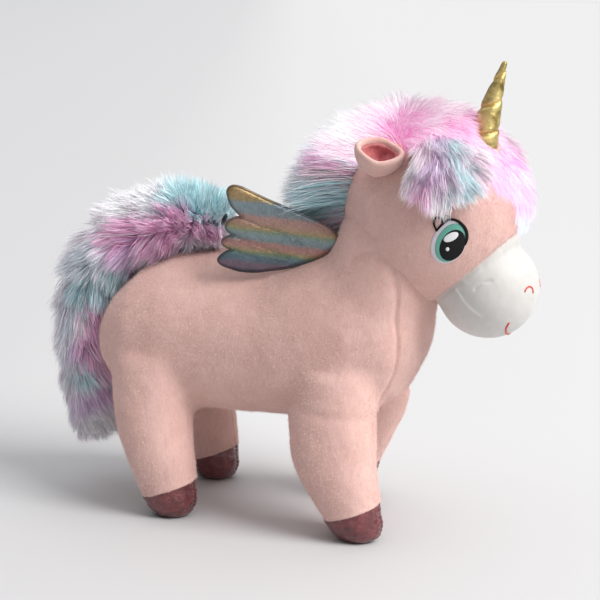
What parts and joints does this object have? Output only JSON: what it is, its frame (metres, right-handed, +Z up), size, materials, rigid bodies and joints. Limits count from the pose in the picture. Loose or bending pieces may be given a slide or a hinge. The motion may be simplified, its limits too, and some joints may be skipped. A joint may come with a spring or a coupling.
{
  "type": "plush unicorn",
  "caption": "Standing plush unicorn with a long pastel mane and tail, padded shiny wings, gold horn and embroidered eyes; its head, ears, wings and tail flex.",
  "frame": {"origin": "on the floor under the middle of the bounding box", "axes": "+Z up, -Y the way the unicorn faces, -X its right side"},
  "size_m": [0.1513, 0.3988, 0.3587],
  "materials": {
    "pink_plush": "matte",
    "white_velour": "matte",
    "maroon_leatherette": "gloss",
    "polyester_fill": "matte",
    "gold_lame": "satin",
    "gold_thread": "satin",
    "coral_satin": "satin",
    "holographic_fabric": "gloss",
    "white_foam": "matte",
    "pastel_fur": "matte",
    "eye_white": "satin",
    "eye_iris": "satin",
    "eye_pupil": "satin",
    "eye_highlight": "satin",
    "eye_lash_line": "satin",
    "coral_thread": "satin"
  },
  "bodies": {
    "body": {"side_panel_right": "pink_plush", "side_panel_left": "pink_plush", "chest_panel": "pink_plush", "belly_gusset": "pink_plush", "body_stuffing": "polyester_fill", "neck_mane_fur": "pastel_fur", "hoof_cover_front_right": "maroon_leatherette", "hoof_sole_front_right": "maroon_leatherette", "hoof_cover_front_left": "maroon_leatherette", "hoof_sole_front_left": "maroon_leatherette", "hoof_cover_hind_right": "maroon_leatherette", "hoof_sole_hind_right": "maroon_leatherette", "hoof_cover_hind_left": "maroon_leatherette", "hoof_sole_hind_left": "maroon_leatherette"},
    "head": {"head_panel_right": "pink_plush", "head_panel_left": "pink_plush", "head_gusset": "pink_plush", "head_stuffing": "polyester_fill", "muzzle_cover": "white_velour", "muzzle_stuffing": "polyester_fill", "horn_cover": "gold_lame", "horn_stuffing": "polyester_fill", "horn_thread": "gold_thread", "nostril_stitch_right": "coral_thread", "nostril_stitch_left": "coral_thread", "mouth_stitch": "coral_thread", "crown_mane_fur": "pastel_fur", "eye_white_right": "eye_white", "eye_iris_right": "eye_iris", "eye_pupil_right": "eye_pupil", "eye_highlight_right": "eye_highlight", "eye_lash_line_right": "eye_lash_line", "forelock_fur_right": "pastel_fur", "eye_white_left": "eye_white", "eye_iris_left": "eye_iris", "eye_pupil_left": "eye_pupil", "eye_highlight_left": "eye_highlight", "eye_lash_line_left": "eye_lash_line", "forelock_fur_left": "pastel_fur"},
    "ear_right": {"ear_outer_right": "pink_plush", "ear_lining_right": "coral_satin"},
    "ear_left": {"ear_outer_left": "pink_plush", "ear_lining_left": "coral_satin"},
    "wing_right": {"wing_inner_fabric_right": "holographic_fabric", "wing_foam_right": "white_foam", "wing_outer_fabric_right": "holographic_fabric"},
    "wing_left": {"wing_inner_fabric_left": "holographic_fabric", "wing_foam_left": "white_foam", "wing_outer_fabric_left": "holographic_fabric"},
    "tail": {"tail_fur": "pastel_fur", "tail_stuffing": "polyester_fill"}
  },
  "joints": [
    {"name": "head_nod", "type": "hinge", "parent": "body", "child": "head", "pos_m": [0, -0.118, 0.247], "axis": [1, 0, 0], "range_deg": [-8, 8], "stiffness_Nm_per_rad": 1.5},
    {"name": "ear_right_lift", "type": "hinge", "parent": "head", "child": "ear_right", "pos_m": [-0.0456, -0.1071, 0.2842], "axis": [0.8906, -0.0302, 0.4537], "range_deg": [0, 30], "stiffness_Nm_per_rad": 0.02},
    {"name": "ear_left_lift", "type": "hinge", "parent": "head", "child": "ear_left", "pos_m": [0.0456, -0.1071, 0.2842], "axis": [0.8906, 0.0302, -0.4537], "range_deg": [0, 30], "stiffness_Nm_per_rad": 0.02},
    {"name": "wing_right_spread", "type": "hinge", "parent": "body", "child": "wing_right", "pos_m": [-0.03241, -0.04439, 0.21415], "axis": [0.0961, -0.8126, 0.5748], "range_deg": [0, 50], "stiffness_Nm_per_rad": 0.03},
    {"name": "wing_left_spread", "type": "hinge", "parent": "body", "child": "wing_left", "pos_m": [0.03241, -0.04439, 0.21415], "axis": [0.0961, 0.8126, -0.5748], "range_deg": [-16, 34], "stiffness_Nm_per_rad": 0.03},
    {"name": "tail_swing", "type": "hinge", "parent": "body", "child": "tail", "pos_m": [0, 0.085, 0.212], "axis": [0, 0, 1], "range_deg": [-20, 20], "stiffness_Nm_per_rad": 0.15}
  ]
}
